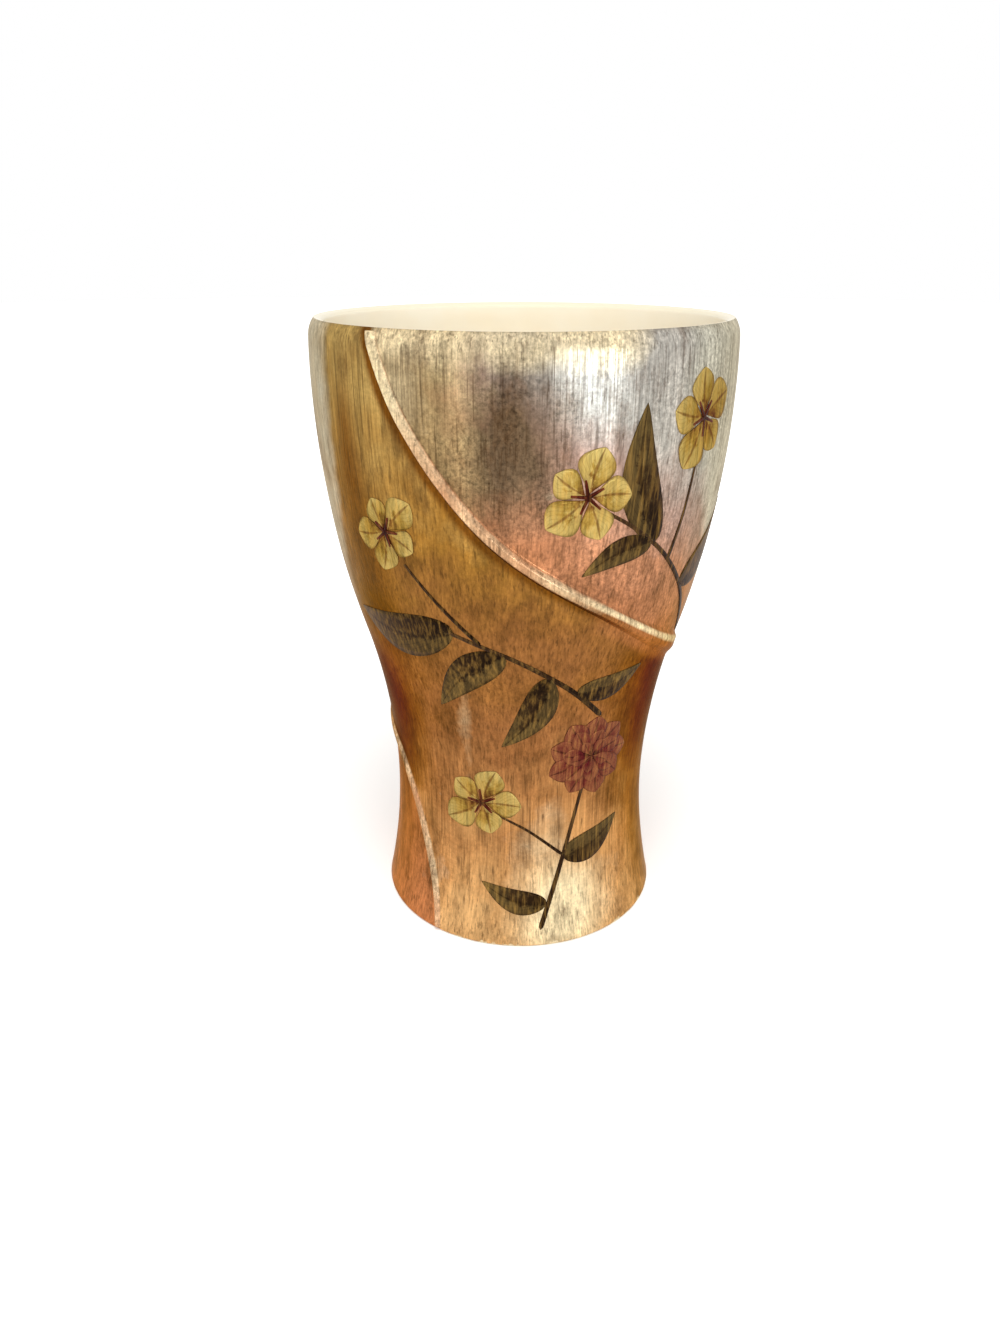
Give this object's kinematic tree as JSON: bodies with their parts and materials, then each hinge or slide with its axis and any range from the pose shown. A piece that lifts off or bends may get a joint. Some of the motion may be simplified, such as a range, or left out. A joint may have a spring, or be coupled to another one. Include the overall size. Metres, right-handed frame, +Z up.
{
  "type": "bamboo vase",
  "caption": "Flared bamboo vase of glued staves with a let-in floor, ivory lacquer inside and over the rim, and a raised rib that winds once round the gilded outside.",
  "frame": {"origin": "centre of the vase's box at the foot, on the surface that it stands on", "axes": "+Z up along the vase's axis; the front, where the rib falls from left to right, faces -Y"},
  "size_m": [0.1306, 0.1306, 0.2],
  "materials": {
    "bamboo": "bamboo under satin silver, copper and gold leaf outside and ivory lacquer inside",
    "bamboo_board": "laminated bamboo, ivory lacquer on top"
  },
  "bodies": {
    "root": {"stave_01": "bamboo", "stave_02": "bamboo", "stave_03": "bamboo", "stave_04": "bamboo", "stave_05": "bamboo", "stave_06": "bamboo", "stave_07": "bamboo", "stave_08": "bamboo", "stave_09": "bamboo", "stave_10": "bamboo", "stave_11": "bamboo", "stave_12": "bamboo", "stave_13": "bamboo", "stave_14": "bamboo", "stave_15": "bamboo", "stave_16": "bamboo", "stave_17": "bamboo", "stave_18": "bamboo", "stave_19": "bamboo", "stave_20": "bamboo", "stave_21": "bamboo", "stave_22": "bamboo", "stave_23": "bamboo", "stave_24": "bamboo", "stave_25": "bamboo", "stave_26": "bamboo", "stave_27": "bamboo", "stave_28": "bamboo", "stave_29": "bamboo", "stave_30": "bamboo", "stave_31": "bamboo", "stave_32": "bamboo", "floor_disc": "bamboo_board", "spiral_rib": "bamboo"}
  },
  "joints": []
}
